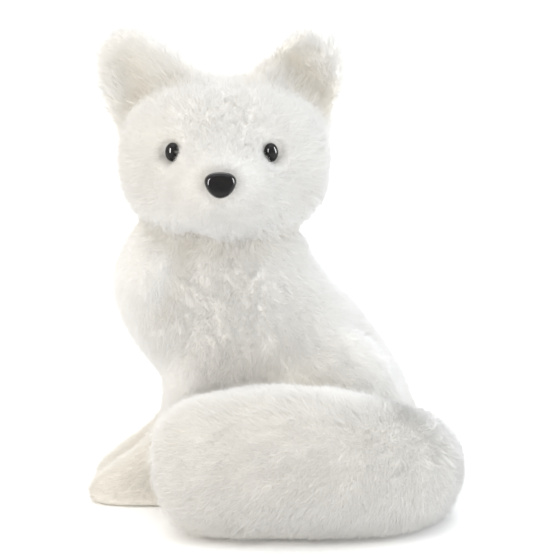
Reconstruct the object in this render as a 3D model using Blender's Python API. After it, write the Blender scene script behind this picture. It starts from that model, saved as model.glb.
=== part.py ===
"""A plush arctic fox that sits with its tail curled round its side, as one closed solid for each sewn part.

Metres, +Z up. The body heads towards -X, the face looks towards -Y and the tail lies in front of the body.
Every solid is the outer shape of the pile, out to the tips of the hair. The origin is the middle of the
footprint's box, on the floor.
"""

import math
from collections import namedtuple

import bmesh
import bpy
from mathutils import Matrix, Vector

# Driving dimensions
GAP = 0.0003                    # clearance between neighbours that touch
AROUND = 20                     # facets round a limb, the trunk, the head or the tail
SHARP = math.radians(50)        # edges that turn by more than this stay crisp
BODY_YAW = math.radians(4)      # turns the heading from -X towards -Y
BODY_PLACE = Vector((0.0, -0.010, 0.0))
HEAD_YAW = math.radians(-1.6)   # a positive angle turns the face from -Y towards +X
HEAD_CENTRE = Vector((-0.0364, -0.014, 0.167))
EAR_BASE = Vector((0.0285, 0.006, 0.0255))      # from the head's centre, mirrored for the other ear
EAR_TURN = math.radians(12)     # the hollow side looks forwards and a little outwards
LEFT, RIGHT = 1, -1             # the toy's own left and right; the head's left is +X, the body's is -Y
EAR_LEAN = {LEFT: math.radians(31.5), RIGHT: math.radians(36)}      # outwards from upright
EAR_HEIGHT = {LEFT: 0.0400, RIGHT: 0.0440}
EYE_PLACE = Vector((0.0232, -0.0390, 0.0086))   # from the head's centre
EYE_RADIUS = 0.0050
EYE_DEPTH = 0.0034
EYE_TURN = math.radians(32)     # each eye looks outwards by this much
SOCKET_FLARE = ((1.15, 0.0020), (1.45, 0.0060), (1.8, 0.0160))      # radii in eye radii, and distances out
NOSE_PLACE = Vector((0.0008, -0.0700, -0.0018))
NOSE_WIDTH, NOSE_HEIGHT, NOSE_DEPTH = 0.0154, 0.0134, 0.0090
NOSE_NARROWS = 0.4              # how much of its width the nose loses from its top to its bottom
LEG_SPACING = 0.0172            # from the middle of the body to the middle of a front leg
RIGHT_LEG_BACK = 0.004          # the right front foot stands a little further back
THIGH_SPACING = 0.0330
HIND_FOOT_SPACING = 0.0475
# How boxy each cross-section is: 2 is an ellipse
BOXY = {
    "head": 2.45, "ear": 2.2, "chest": 2.1, "trunk": 2.2, "thigh": 2.1, "front_leg": 2.5, "hind_foot": 2.3,
}

# A cross-section: its place on the part's axis, its two edges and its half width
Station = namedtuple("Station", "at high low half")

# Upright parts: height, front edge, back edge and half width, with the front towards the heading
TRUNK = [
    Station(-0.012, 0.020, -0.030, 0.000),
    Station(-0.006, 0.034, -0.048, 0.038),
    Station(0.012, 0.042, -0.057, 0.047),
    Station(0.034, 0.050, -0.059, 0.051),
    Station(0.056, 0.060, -0.053, 0.050),
    Station(0.078, 0.070, -0.040, 0.047),
    Station(0.098, 0.074, -0.024, 0.043),
    Station(0.118, 0.074, -0.006, 0.040),
    Station(0.138, 0.070, 0.005, 0.036),
    Station(0.156, 0.058, 0.016, 0.026),
    Station(0.166, 0.042, 0.030, 0.000),
]
CHEST = [
    Station(0.052, 0.056, 0.048, 0.000),
    Station(0.058, 0.0675, 0.040, 0.016),
    Station(0.070, 0.0785, 0.036, 0.026),
    Station(0.084, 0.0870, 0.034, 0.031),
    Station(0.098, 0.0920, 0.032, 0.034),
    Station(0.112, 0.0920, 0.032, 0.035),
    Station(0.125, 0.0865, 0.034, 0.032),
    Station(0.137, 0.0765, 0.038, 0.026),
    Station(0.148, 0.062, 0.050, 0.000),
]
FRONT_LEG = [
    Station(-0.008, 0.092, 0.040, 0.000),
    Station(-0.003, 0.101, 0.032, 0.014),
    Station(0.006, 0.1055, 0.024, 0.0160),
    Station(0.014, 0.1010, 0.023, 0.0165),
    Station(0.024, 0.0865, 0.023, 0.0165),
    Station(0.036, 0.0735, 0.023, 0.0165),
    Station(0.050, 0.0680, 0.022, 0.0170),
    Station(0.068, 0.0660, 0.020, 0.0168),
    Station(0.086, 0.0640, 0.018, 0.0160),
    Station(0.104, 0.050, 0.030, 0.000),
]
THIGH = [
    Station(-0.012, 0.010, -0.020, 0.000),
    Station(-0.004, 0.030, -0.040, 0.014),
    Station(0.012, 0.040, -0.050, 0.022),
    Station(0.030, 0.042, -0.052, 0.025),
    Station(0.048, 0.039, -0.050, 0.0255),
    Station(0.064, 0.031, -0.045, 0.022),
    Station(0.080, 0.014, -0.035, 0.014),
    Station(0.090, -0.006, -0.020, 0.000),
]
HIND_FOOT = [
    Station(-0.006, 0.040, 0.020, 0.000),
    Station(-0.002, 0.052, 0.006, 0.010),
    Station(0.006, 0.056, 0.000, 0.0130),
    Station(0.014, 0.052, 0.000, 0.0120),
    Station(0.021, 0.036, 0.010, 0.000),
]
# The head: distance in front of its centre, top edge, bottom edge and half width
HEAD = [
    Station(-0.044, 0.002, -0.002, 0.000),
    Station(-0.036, 0.026, -0.025, 0.034),
    Station(-0.018, 0.0375, -0.0370, 0.049),
    Station(0.002, 0.0400, -0.0395, 0.0520),
    Station(0.018, 0.0370, -0.0385, 0.0500),
    Station(0.031, 0.0290, -0.0365, 0.0415),
    Station(0.042, 0.0185, -0.0330, 0.0310),
    Station(0.054, 0.0110, -0.0270, 0.0235),
    Station(0.064, 0.0070, -0.0185, 0.0160),
    Station(0.069, -0.003, -0.007, 0.000),
]
# An ear: share of its height, front face, back face and half width
EAR = [
    Station(-0.42, 0.003, -0.003, 0.000),
    Station(-0.28, 0.009, -0.010, 0.024),
    Station(0.00, 0.009, -0.011, 0.0265),
    Station(0.35, 0.0075, -0.0085, 0.0220),
    Station(0.70, 0.0060, -0.0065, 0.0175),
    Station(0.92, 0.0050, -0.0050, 0.0125),
    Station(1.00, 0.000, 0.000, 0.000),
]
EAR_HOLLOW = 0.0085             # how far an ear's edges stand in front of its middle

TailPoint = namedtuple("TailPoint", "x y z radius")
TAIL = [
    TailPoint(0.028, 0.010, 0.027, 0.000),
    TailPoint(0.038, 0.004, 0.026, 0.0160),
    TailPoint(0.054, -0.020, 0.023, 0.0205),
    TailPoint(0.0545, -0.055, 0.0235, 0.0260),
    TailPoint(0.041, -0.082, 0.0295, 0.0325),
    TailPoint(0.013, -0.091, 0.0345, 0.0360),
    TailPoint(-0.018, -0.0915, 0.0350, 0.0363),
    TailPoint(-0.0455, -0.089, 0.0325, 0.0340),
    TailPoint(-0.063, -0.087, 0.030, 0.0255),
    TailPoint(-0.0692, -0.086, 0.029, 0.000),
]
TAIL_CUTS = (3.0, 5.0)          # where the tail is divided, counted in TAIL's points


def catmull_rom(rows, place):
    """The row at a place counted in rows, on a smooth curve through all of them."""
    last = len(rows) - 1
    i = min(int(place), last - 1)
    t = place - i
    b, c = rows[i], rows[i + 1]
    a = rows[i - 1] if i > 0 else [2 * p - q for p, q in zip(b, c)]
    d = rows[i + 2] if i + 2 <= last else [2 * q - p for p, q in zip(b, c)]
    return [
        0.5 * (2 * q + (r - p) * t + (2 * p - 5 * q + 4 * r - s) * t * t
               + (3 * q - p - 3 * r + s) * t * t * t)
        for p, q, r, s in zip(a, b, c, d)
    ]


def places_along(spans, steps):
    """Evenly spaced places, closing up towards the two round ends."""
    found = []
    for span in range(spans):
        for step in range(steps):
            t = step / steps
            if span == 0:
                t = t * t
            elif span == spans - 1:
                t = 1 - (1 - t) ** 2
            found.append(span + t)
    return found[1:] if found[0] == 0 else found


def closed_mesh(name, rings, first, last):
    """A mesh through rings of points, closed by a point at each end."""
    mesh = bmesh.new()
    rows = [[mesh.verts.new(p) for p in ring] for ring in rings]
    for row, following in zip(rows, rows[1:]):
        for i in range(len(row)):
            j = (i + 1) % len(row)
            mesh.faces.new((row[i], row[j], following[j], following[i]))
    for point, row in ((first, rows[0]), (last, rows[-1])):
        pole = mesh.verts.new(point)
        for i in range(len(row)):
            mesh.faces.new((pole, row[i], row[(i + 1) % len(row)]))
    bmesh.ops.recalc_face_normals(mesh, faces=mesh.faces)
    data = bpy.data.meshes.new(name)
    mesh.to_mesh(data)
    mesh.free()
    return data


def squared(value, power):
    """A sine or cosine pushed outwards, which makes an ellipse boxier as power grows past 2."""
    return math.copysign(abs(value) ** (2 / power), value)


def profiled(name, stations, steps=2, hollow=0.0):
    """A part along local Z from its stations: high and low lie along local -X, half along local Y.

    The half sizes are smoothed as squares, which rounds off both ends like an egg's.
    """
    rows = [
        (s.at, (s.high + s.low) / 2, ((s.high - s.low) / 2) ** 2, s.half ** 2)
        for s in stations
    ]
    widest = max(s.half for s in stations)
    rings = []
    for place in places_along(len(rows) - 1, steps):
        at, middle, deep, wide = catmull_rom(rows, place)
        deep, wide = math.sqrt(max(deep, 1e-10)), math.sqrt(max(wide, 1e-10))
        edge = hollow * min(1.0, wide / widest)
        ring = []
        for i in range(AROUND):
            angle = math.tau * i / AROUND
            side = squared(math.sin(angle), BOXY[name])
            reach = middle + deep * squared(math.cos(angle), BOXY[name]) + edge * side * side
            ring.append(Vector((-reach, wide * side, at)))
        rings.append(ring)
    ends = [Vector((-(s.high + s.low) / 2, 0, s.at)) for s in (stations[0], stations[-1])]
    return closed_mesh(name, rings, *ends)


def tube(name, points, steps=3):
    """A round tube of changing radius along a curved path, with rounded ends."""
    rows = [(p.x, p.y, p.z, p.radius ** 2) for p in points]
    rings = []
    for place in places_along(len(rows) - 1, steps):
        *centre, area = catmull_rom(rows, place)
        ahead = Vector(catmull_rom(rows, min(place + 0.05, len(rows) - 1))[:3])
        behind = Vector(catmull_rom(rows, max(place - 0.05, 0))[:3])
        forward = (ahead - behind).normalized()
        across = forward.cross(Vector((0, 0, 1))).normalized()
        rise = across.cross(forward)
        radius = math.sqrt(max(area, 1e-10))
        rings.append([
            Vector(centre) + radius * (math.cos(a) * across + math.sin(a) * rise)
            for a in (math.tau * i / AROUND for i in range(AROUND))
        ])
    return closed_mesh(name, rings, Vector(rows[0][:3]), Vector(rows[-1][:3]))


def cut_away(data, point, normal):
    """Removes what lies past a plane, on the side its normal points to, and closes the cut.

    The faces are made triangles, because a Boolean goes wrong on faces that aren't flat.
    """
    mesh = bmesh.new()
    mesh.from_mesh(data)
    everything = mesh.verts[:] + mesh.edges[:] + mesh.faces[:]
    cut = bmesh.ops.bisect_plane(
        mesh, geom=everything, plane_co=point, plane_no=normal, clear_outer=True, dist=1e-6
    )
    rim = [e for e in cut["geom_cut"] if isinstance(e, bmesh.types.BMEdge)]
    if rim:
        bmesh.ops.contextual_create(mesh, geom=rim)
    bmesh.ops.triangulate(mesh, faces=mesh.faces)
    bmesh.ops.recalc_face_normals(mesh, faces=mesh.faces)
    mesh.to_mesh(data)
    mesh.free()


def material(name, colour, roughness):
    made = bpy.data.materials.new(name)
    made.use_nodes = True
    shader = made.node_tree.nodes["Principled BSDF"]
    shader.inputs["Base Color"].default_value = (*colour, 1)
    shader.inputs["Roughness"].default_value = roughness
    shader.inputs["Metallic"].default_value = 0.0
    return made


def add(name, data, matrix, finish):
    """Places a mesh by its matrix, cuts it level with the floor and shows it in its material."""
    data.transform(matrix)
    cut_away(data, Vector((0, 0, 0)), Vector((0, 0, -1)))
    data.shade_smooth()
    data.set_sharp_from_angle(angle=SHARP)
    data.materials.append(finish)
    part = bpy.data.objects.new(name, data)
    bpy.context.scene.collection.objects.link(part)
    return part


def cut_with(part, cutter):
    """Subtracts a helper shape, which isn't itself a part."""
    cutter.hide_render = True
    cutter.display_type = "WIRE"
    cut = part.modifiers.new(cutter.name, "BOOLEAN")
    cut.operation = "DIFFERENCE"
    cut.solver = "EXACT"
    cut.object = cutter


def make_room(part, *neighbours):
    """Cuts each neighbour's shape out of a part, leaving the gap between them."""
    for neighbour in neighbours:
        cutter = bpy.data.objects.get(f"around_{neighbour.name}")
        if cutter is None:
            cutter = bpy.data.objects.new(f"around_{neighbour.name}", neighbour.data)
            bpy.context.scene.collection.objects.link(cutter)
            grow = cutter.modifiers.new("gap", "DISPLACE")
            grow.strength = GAP
            grow.mid_level = 0
        cut_with(part, cutter)


def head_frame():
    return Matrix.Translation(HEAD_CENTRE) @ Matrix.Rotation(HEAD_YAW, 4, "Z")


def body_frame(sideways=0.0, back=0.0):
    """The body's own axes, moved sideways: towards its left side, which is the side the tail lies on."""
    turn = Matrix.Rotation(BODY_YAW, 4, "Z")
    return Matrix.Translation(BODY_PLACE) @ turn @ Matrix.Translation((back, -sideways, 0))


# Turns a profile's axis from local Z to -Y, with its high edge up
FACING = Matrix(((0, 1, 0, 0), (0, 0, -1, 0), (-1, 0, 0, 0), (0, 0, 0, 1)))


def build_head(pile):
    return add("head", profiled("head", HEAD), head_frame() @ FACING, pile)


def build_ear(name, side, pile):
    stations = [s._replace(at=s.at * EAR_HEIGHT[side]) for s in EAR]
    data = profiled("ear", stations, hollow=EAR_HOLLOW)
    front = Matrix.Rotation(math.radians(90), 4, "Z")       # high faces from -X to -Y
    place = Matrix.Translation((side * EAR_BASE.x, EAR_BASE.y, EAR_BASE.z))
    lean = Matrix.Rotation(side * EAR_LEAN[side], 4, "Y")
    turn = Matrix.Rotation(side * EAR_TURN, 4, "Z")
    return add(name, data, head_frame() @ place @ lean @ turn @ front, pile)


def turned(name, profile, segments):
    """A closed turned shape about local Z, from its profile of (radius, height) between two poles."""
    rings = [
        [Vector((r * math.cos(a), r * math.sin(a), z))
         for a in (math.tau * i / segments for i in range(segments))]
        for r, z in profile[1:-1]
    ]
    return closed_mesh(name, rings, Vector((0, 0, profile[0][1])), Vector((0, 0, profile[-1][1])))


def dome(radius, depth, start, end, steps=6):
    """(radius, height) points of an ellipse between two angles, from -90 degrees at its lower pole."""
    angles = [math.radians(start + (end - start) * i / steps) for i in range(steps + 1)]
    return [(radius * math.cos(a), depth * math.sin(a)) for a in angles]


def eye_matrix(side):
    """Looks out of the head at an eye's place, along local Z."""
    face = Matrix.Rotation(math.radians(90), 4, "X")
    turn = Matrix.Rotation(side * EYE_TURN, 4, "Z")
    place = Matrix.Translation((side * EYE_PLACE.x, EYE_PLACE.y, EYE_PLACE.z))
    return head_frame() @ place @ turn @ face


def build_eye(name, side, plastic):
    """A domed button."""
    profile = dome(EYE_RADIUS, EYE_DEPTH, -90, 90, steps=8)
    return add(name, turned(name, profile, segments=16), eye_matrix(side), plastic)


def cut_socket(head, name, side):
    """Cuts an eye's seat out of the head, opening outwards through the pile like a funnel."""
    seat = dome(EYE_RADIUS + GAP, EYE_DEPTH + GAP, -90, 0, steps=5)
    funnel = [(EYE_RADIUS * flare, reach) for flare, reach in SOCKET_FLARE]
    data = turned(f"socket_{name}", seat + funnel + [(0, funnel[-1][1])], segments=16)
    data.transform(eye_matrix(side))
    socket = bpy.data.objects.new(data.name, data)
    bpy.context.scene.collection.objects.link(socket)
    cut_with(head, socket)


def build_nose(plastic):
    """A rounded triangle, wider above than below, with a domed front."""
    data = bpy.data.meshes.new("nose")
    mesh = bmesh.new()
    bmesh.ops.create_uvsphere(mesh, u_segments=18, v_segments=10, radius=0.5)
    for vert in mesh.verts:
        taper = 1 + NOSE_NARROWS * vert.co.z
        vert.co = Vector((
            vert.co.x * NOSE_WIDTH * taper, vert.co.y * NOSE_DEPTH, vert.co.z * NOSE_HEIGHT
        ))
    mesh.to_mesh(data)
    mesh.free()
    return add("nose", data, head_frame() @ Matrix.Translation(NOSE_PLACE), plastic)


def build_tail(pile):
    """Three lengths of one tube, parted by thin flat cuts."""
    names = ("tail_base", "tail_middle", "tail_tip")
    rows = [(p.x, p.y, p.z) for p in TAIL]
    cuts = []
    for place in TAIL_CUTS:
        point = Vector(catmull_rom(rows, place))
        ahead = Vector(catmull_rom(rows, place + 0.05))
        cuts.append((point, (ahead - point).normalized()))
    lengths = []
    for i, name in enumerate(names):
        data = tube(name, TAIL)
        if i < len(cuts):
            point, forward = cuts[i]
            cut_away(data, point - forward * GAP / 2, forward)
        if i > 0:
            point, forward = cuts[i - 1]
            cut_away(data, point + forward * GAP / 2, -forward)
        lengths.append(add(name, data, Matrix.Identity(4), pile))
    return lengths


def centre_on_base(parts):
    """Moves everything so that the origin is the middle of the box's base."""
    bpy.context.view_layer.update()
    graph = bpy.context.evaluated_depsgraph_get()
    corners = []
    for part in parts:
        evaluated = part.evaluated_get(graph)
        corners += [evaluated.matrix_world @ Vector(c) for c in evaluated.bound_box]
    low = [min(c[i] for c in corners) for i in range(3)]
    high = [max(c[i] for c in corners) for i in range(3)]
    shift = Matrix.Translation((-(low[0] + high[0]) / 2, -(low[1] + high[1]) / 2, -low[2]))
    for data in {o.data for o in bpy.data.objects}:
        data.transform(shift)


def main():
    for old in list(bpy.data.objects):
        bpy.data.objects.remove(old)
    pile = material("white_pile", (0.86, 0.85, 0.82), 0.9)
    plastic = material("black_plastic", (0.012, 0.012, 0.014), 0.15)

    head = build_head(pile)
    eyes, ears = [], []
    for word, side in (("left", LEFT), ("right", RIGHT)):
        eyes.append(build_eye(f"eye_{word}", side, plastic))
        cut_socket(head, eyes[-1].name, side)
        ears.append(build_ear(f"ear_{word}", side, pile))
        make_room(ears[-1], head)
    nose = build_nose(plastic)
    make_room(head, nose)

    chest = add("chest", profiled("chest", CHEST), body_frame(), pile)
    make_room(chest, head)
    trunk = add("trunk", profiled("trunk", TRUNK), body_frame(), pile)
    make_room(trunk, head, chest)
    tail = build_tail(pile)
    for length in tail:
        make_room(length, trunk)

    limbs = []
    for word, side, back, beside in (("left", LEFT, 0.0, tail), ("right", RIGHT, RIGHT_LEG_BACK, [])):
        thigh = add(
            f"thigh_{word}", profiled("thigh", THIGH), body_frame(side * THIGH_SPACING), pile
        )
        make_room(thigh, trunk, *beside)
        leg = add(
            f"front_leg_{word}", profiled("front_leg", FRONT_LEG),
            body_frame(side * LEG_SPACING, back), pile,
        )
        make_room(leg, chest, trunk, thigh, *beside)
        foot = add(
            f"hind_foot_{word}", profiled("hind_foot", HIND_FOOT),
            body_frame(side * HIND_FOOT_SPACING), pile,
        )
        make_room(foot, trunk, thigh, *beside)
        limbs += [thigh, leg, foot]
    centre_on_base([head, *eyes, nose, *ears, trunk, chest, *limbs, *tail])


main()
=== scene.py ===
import math
from collections import namedtuple

import bmesh
import bpy
import numpy as np
from mathutils import Matrix, Vector, kdtree, noise
from mathutils.bvhtree import BVHTree


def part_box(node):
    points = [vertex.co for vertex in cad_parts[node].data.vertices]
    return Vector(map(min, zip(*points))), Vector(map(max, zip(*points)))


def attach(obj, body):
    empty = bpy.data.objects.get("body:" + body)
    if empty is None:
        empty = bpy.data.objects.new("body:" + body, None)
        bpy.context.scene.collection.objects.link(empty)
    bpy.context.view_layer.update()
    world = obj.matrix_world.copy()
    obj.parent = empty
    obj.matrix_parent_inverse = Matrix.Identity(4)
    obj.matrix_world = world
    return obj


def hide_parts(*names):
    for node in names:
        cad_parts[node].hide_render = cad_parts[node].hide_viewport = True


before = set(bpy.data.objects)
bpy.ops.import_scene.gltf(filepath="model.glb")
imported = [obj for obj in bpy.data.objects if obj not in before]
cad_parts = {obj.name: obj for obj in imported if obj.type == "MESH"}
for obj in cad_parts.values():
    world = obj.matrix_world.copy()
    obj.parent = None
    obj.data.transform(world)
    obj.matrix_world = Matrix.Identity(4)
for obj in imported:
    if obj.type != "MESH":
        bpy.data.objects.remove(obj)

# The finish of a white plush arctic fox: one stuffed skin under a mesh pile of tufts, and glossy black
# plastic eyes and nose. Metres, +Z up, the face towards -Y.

MM = 0.001
UP = np.array([0.0, 0.0, 1.0])
FORWARDS = np.array([0.0, -1.0, 0.0])
rng = np.random.default_rng(12)
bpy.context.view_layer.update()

# How the pile grows on each sewn part: a tuft's length (mm), the angle at which it leaves the skin (degrees),
# its thickness (mm), how densely it grows, how tousled it is, how deep the skin lies under it as a share of
# how high its tufts rise, and how light its front-facing side is painted, from 0 to 1, less than 1 being
# painted shade
Pile = namedtuple("Pile", "length lift thick dense tousle deep white")
PILES = {
    "head": Pile(6.6, 56, 0.11, 1.15, 0.6, 0.71, 0.42),
    "ear_left": Pile(7.0, 50, 0.11, 1.2, 0.35, 0.72, 1.0),
    "ear_right": Pile(7.0, 50, 0.11, 1.2, 0.35, 0.72, 1.0),
    "chest": Pile(7.4, 50, 0.12, 1.0, 0.33, 0.98, 1.0),
    "trunk": Pile(7.2, 50, 0.12, 0.95, 0.45, 0.95, 0.5),
    "thigh_left": Pile(7.2, 50, 0.12, 0.95, 0.42, 0.92, 1.0),
    "thigh_right": Pile(7.2, 50, 0.12, 0.95, 0.42, 0.92, 1.0),
    "front_leg_left": Pile(5.6, 44, 0.11, 1.0, 0.32, 0.90, 1.0),
    "front_leg_right": Pile(5.6, 44, 0.11, 1.0, 0.32, 0.90, 1.0),
    "hind_foot_left": Pile(5.4, 44, 0.11, 0.9, 0.6, 0.90, 0.1),
    "hind_foot_right": Pile(5.4, 44, 0.11, 0.9, 0.6, 0.90, 0.1),
    "tail_base": Pile(7.2, 54, 0.12, 1.0, 0.28, 1.06, 0.95),
    "tail_middle": Pile(7.4, 57, 0.12, 1.0, 0.36, 0.92, 0.3),
    "tail_tip": Pile(7.4, 57, 0.12, 1.0, 0.42, 0.90, 0.12),
}
PARTS = list(PILES)
EARS = ["ear_left", "ear_right"]
THIGHS = ["thigh_left", "thigh_right"]
FRONT_LEGS = ["front_leg_left", "front_leg_right"]
HIND_FEET = ["hind_foot_left", "hind_foot_right"]
TAIL = ["tail_base", "tail_middle", "tail_tip"]
BODY = ["chest", "trunk", *THIGHS, *FRONT_LEGS]
SEWN = [["head"], ["ear_left"], ["ear_right"], BODY, ["hind_foot_left"], ["hind_foot_right"], TAIL]

# The skin
GROWN = 0.6 * MM            # how far each solid is let out, so that all of them join
FIRST_GRID = 1.8 * MM       # the faces of the joined solids
LAST_GRID = 1.6 * MM        # the faces of the finished skin
SHRINKING_STEPS = 6
SEAM_DEPTH = 1.8 * MM       # by which the skin sinks where two sewn parts meet
SEAM_BLEND = 2.5 * MM       # how gently one part passes into the next
# Where a pinch more stuffing rounds the toy out: a place in a part's box, and how far the skin is pushed out
# there and how wide around (mm). Two are beside the neck, one above the front legs and one behind the tail
EXTRA_STUFFING = [
    ("head", (0.86, 0.55, -0.02), 3.6, 9),
    ("head", (0.07, 0.45, 0.04), 3.0, 9),
    ("chest", (0.63, 0.03, 0.10), 6.0, 15),
    ("tail_tip", (0.42, 0.98, 0.68), 4.0, 16),
]
# How far the hollow in front of each ear is from the ear's middle line, to the toy's left
EAR_HOLLOWS = {"ear_left": 4 * MM, "ear_right": -8 * MM}

# The coat
LONG_TUFTS = 20000          # bent curls, of nine triangles each
SHORT_TUFTS = 412000        # straight ones among them, of three
MOST_TRIANGLES = 190000     # in one piece of the coat
FACE_SHORTER = 0.62         # how much shorter the pile is at the nose than on the cheeks
LOCK = 6                    # tufts to a lock
SPIKE = 24                  # tufts to one of the pointed bunches at the rims
TIP_LIFT = 0.6              # how far a tuft has bent over at its tip, as a share of its lift at the root
ROOT_DEPTH = 0.5 * MM       # how deep a tuft starts under the skin
PATCH = 0.0015              # half the width of a tuft's patch on the unwrap
PAINTED = ["along", "tone", "warm_shade", "halo_shade"]    # the numbers that each point of a tuft keeps
# How much tufts differ by themselves, lock by lock and bunch by bunch: in the way they point (radians), in
# how far they rise (share of their lift), and in their shade
Spread = namedtuple("Spread", "own lock bunch")
STRAY = Spread(0.3, 0.5, 0.35)
RISE = Spread(0.12, 0.2, 0.2)
SHADE = Spread(0.35, 0.45, 0.2)
# How far the hair leans over the side of each eye that is nearer the nose
HAIR_OVER_EYE = {"eye_left": 1.7 * MM, "eye_right": 1.2 * MM}

# The plastic
EYE_OVAL = (0.72, 0.92)     # an eye's width and height, as shares of its solid's
NOSE_FACET = 0.68           # how far out the nose's front stays nearly flat, as a share of its radius


# ---- Meshes as arrays

def arrays_of(mesh):
    """(points, triangles) of a mesh."""
    points = np.empty(len(mesh.vertices) * 3)
    mesh.vertices.foreach_get("co", points)
    mesh.calc_loop_triangles()
    triangles = np.empty(len(mesh.loop_triangles) * 3, np.int32)
    mesh.loop_triangles.foreach_get("vertices", triangles)
    return points.reshape(-1, 3), triangles.reshape(-1, 3)


def mesh_of(name, points, triangles):
    mesh = bpy.data.meshes.new(name)
    mesh.vertices.add(len(points))
    mesh.vertices.foreach_set("co", np.ravel(points))
    mesh.loops.add(triangles.size)
    mesh.loops.foreach_set("vertex_index", np.ravel(triangles).astype(np.int32))
    mesh.polygons.add(len(triangles))
    mesh.polygons.foreach_set("loop_start", np.arange(0, triangles.size, 3, dtype=np.int32))
    mesh.update(calc_edges=True)
    return mesh


def paint(mesh, label, values):
    """Keeps one number at each point of a mesh, for its finish to read."""
    attribute = mesh.attributes.new(label, "FLOAT", "POINT")
    attribute.data.foreach_set("value", np.ravel(values))


def piece_of(mesh):
    piece = bpy.data.objects.new(mesh.name, mesh)
    bpy.context.scene.collection.objects.link(piece)
    return piece


def unit(vectors):
    return vectors / np.maximum(np.linalg.norm(vectors, axis=-1, keepdims=True), 1e-12)


def dot(a, b):
    return np.sum(a * b, axis=-1, keepdims=True)


def ramp(values, start, end):
    """0 before start, 1 after end, and a smooth rise between them."""
    share = np.clip((values - start) / (end - start), 0, 1)
    return share * share * (3 - 2 * share)


def vertex_normals(points, triangles):
    corners = points[triangles]
    face = np.cross(corners[:, 1] - corners[:, 0], corners[:, 2] - corners[:, 0])
    total = np.zeros_like(points)
    for axis in range(3):
        for corner in range(3):
            total[:, axis] += np.bincount(triangles[:, corner], face[:, axis], len(points))
    return unit(total)


def relaxed(values, triangles, rounds):
    """Values at a mesh's points, each drawn halfway to the mean of its neighbours a few times."""
    first = triangles.ravel()
    second = np.roll(triangles, 1, axis=1).ravel()
    count = len(values)
    near = np.maximum(np.bincount(first, minlength=count) + np.bincount(second, minlength=count), 1)
    for _ in range(rounds):
        total = np.stack([
            np.bincount(first, values[second, k], count) + np.bincount(second, values[first, k], count)
            for k in range(values.shape[1])
        ], axis=1)
        values = (values + total / near[:, None]) / 2
    return values


def remeshed(points, triangles, size):
    """The outer surface of what may be several closed meshes, in even quads of about this size."""
    piece = piece_of(mesh_of("remesh", points, triangles))
    grid = piece.modifiers.new("Remesh", "REMESH")
    grid.mode = "VOXEL"
    grid.voxel_size = size
    graph = bpy.context.evaluated_depsgraph_get()
    result = bpy.data.meshes.new_from_object(piece.evaluated_get(graph))
    bpy.data.objects.remove(piece)
    return arrays_of(result)


def largest_part(points, triangles):
    """The connected part with most points, without the rest."""
    label = np.arange(len(points))
    while True:
        low = label[triangles].min(axis=1)
        new = label.copy()
        for corner in range(3):
            np.minimum.at(new, triangles[:, corner], low)
        new = new[new]
        if (new == label).all():
            break
        label = new
    keep = label == np.bincount(label).argmax()
    renumber = np.cumsum(keep) - 1
    return points[keep], renumber[triangles[keep[triangles[:, 0]]]]


# ---- Where the parts are

def centre_of(node):
    low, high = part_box(node)
    return np.array((low + high) / 2)


def cad_points(node):
    return arrays_of(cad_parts[node].data)[0]


def node_tree_of(node):
    points, triangles = arrays_of(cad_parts[node].data)
    return BVHTree.FromPolygons(points.tolist(), triangles.tolist())


TREES = {part: node_tree_of(part) for part in PARTS}
NOSE = centre_of("nose")
EYES = {name: centre_of(name) for name in HAIR_OVER_EYE}
HEAD_MIDDLE = centre_of("head")


def half_size(node):
    low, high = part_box(node)
    return np.array((high - low) / 2)


def thin_axis(node):
    """The direction in which a node is thinnest, pointing out of the head."""
    points = cad_points(node)
    points = points - points.mean(axis=0)
    axis = np.linalg.eigh(points.T @ points)[1][:, 0]
    return axis if axis @ (centre_of(node) - HEAD_MIDDLE) > 0 else -axis


def long_axis(node):
    """The direction in which a node is longest, pointing up."""
    points = cad_points(node)
    points = points - points.mean(axis=0)
    axis = np.linalg.eigh(points.T @ points)[1][:, 2]
    return axis if axis[2] > 0 else -axis


def within(node, part):
    """The place at these shares of the way across a node's box."""
    low, high = (np.array(corner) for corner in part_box(node))
    return low + (high - low) * np.array(part)


def mound(points, place, reach):
    """1 at a place, falling to 0 about this far round it."""
    return np.exp(-((np.linalg.norm(points - place, axis=1) / reach) ** 2))


def nearness(points):
    """How much each point of a surface belongs to each part, which adds up to 1 and blends over seams."""
    away = np.empty((len(points), len(PARTS)))
    for column, part in enumerate(PARTS):
        find = TREES[part].find_nearest
        away[:, column] = [find(point)[3] for point in points.tolist()]
    share = np.exp(-(away - away.min(axis=1, keepdims=True)) / SEAM_BLEND)
    return share / share.sum(axis=1, keepdims=True)


def belonging(share, parts):
    """How much each point belongs to these parts together."""
    return share[:, [PARTS.index(part) for part in parts]].sum(axis=1)


def by_part(share, field):
    return share @ np.array([getattr(PILES[part], field) for part in PARTS], float)


def seam_nearness(share):
    """1 where two sewn parts meet, falling to 0 within them."""
    sewn = np.stack([belonging(share, group) for group in SEWN], axis=1)
    return 2 * np.sort(sewn, axis=1)[:, -2]


def across_ear(ear):
    """The level direction across an ear."""
    return unit(np.cross(long_axis(ear), FORWARDS))


def beside_ear(points, ear):
    """How far each point is from an ear's middle line, across the ear."""
    return np.abs((points - centre_of(ear)) @ across_ear(ear))


def hollow_of_ear(points, ear):
    """1 along the hollow in front of an ear, falling to 0 at its rims."""
    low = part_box(ear)[0]
    across = across_ear(ear)
    offset = points - centre_of(ear)
    beside = (offset @ across - EAR_HOLLOWS[ear] * np.sign(across[0])) / (8 * MM)
    front = 1 - ramp(points[:, 1], low[1] + 9 * MM, low[1] + 20 * MM)
    top = 1 - ramp(offset @ long_axis(ear), 4 * MM, 24 * MM)
    return np.exp(-(beside ** 2)) * front * (ramp(points[:, 2], low[2], low[2] + 12 * MM) * top)


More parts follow.
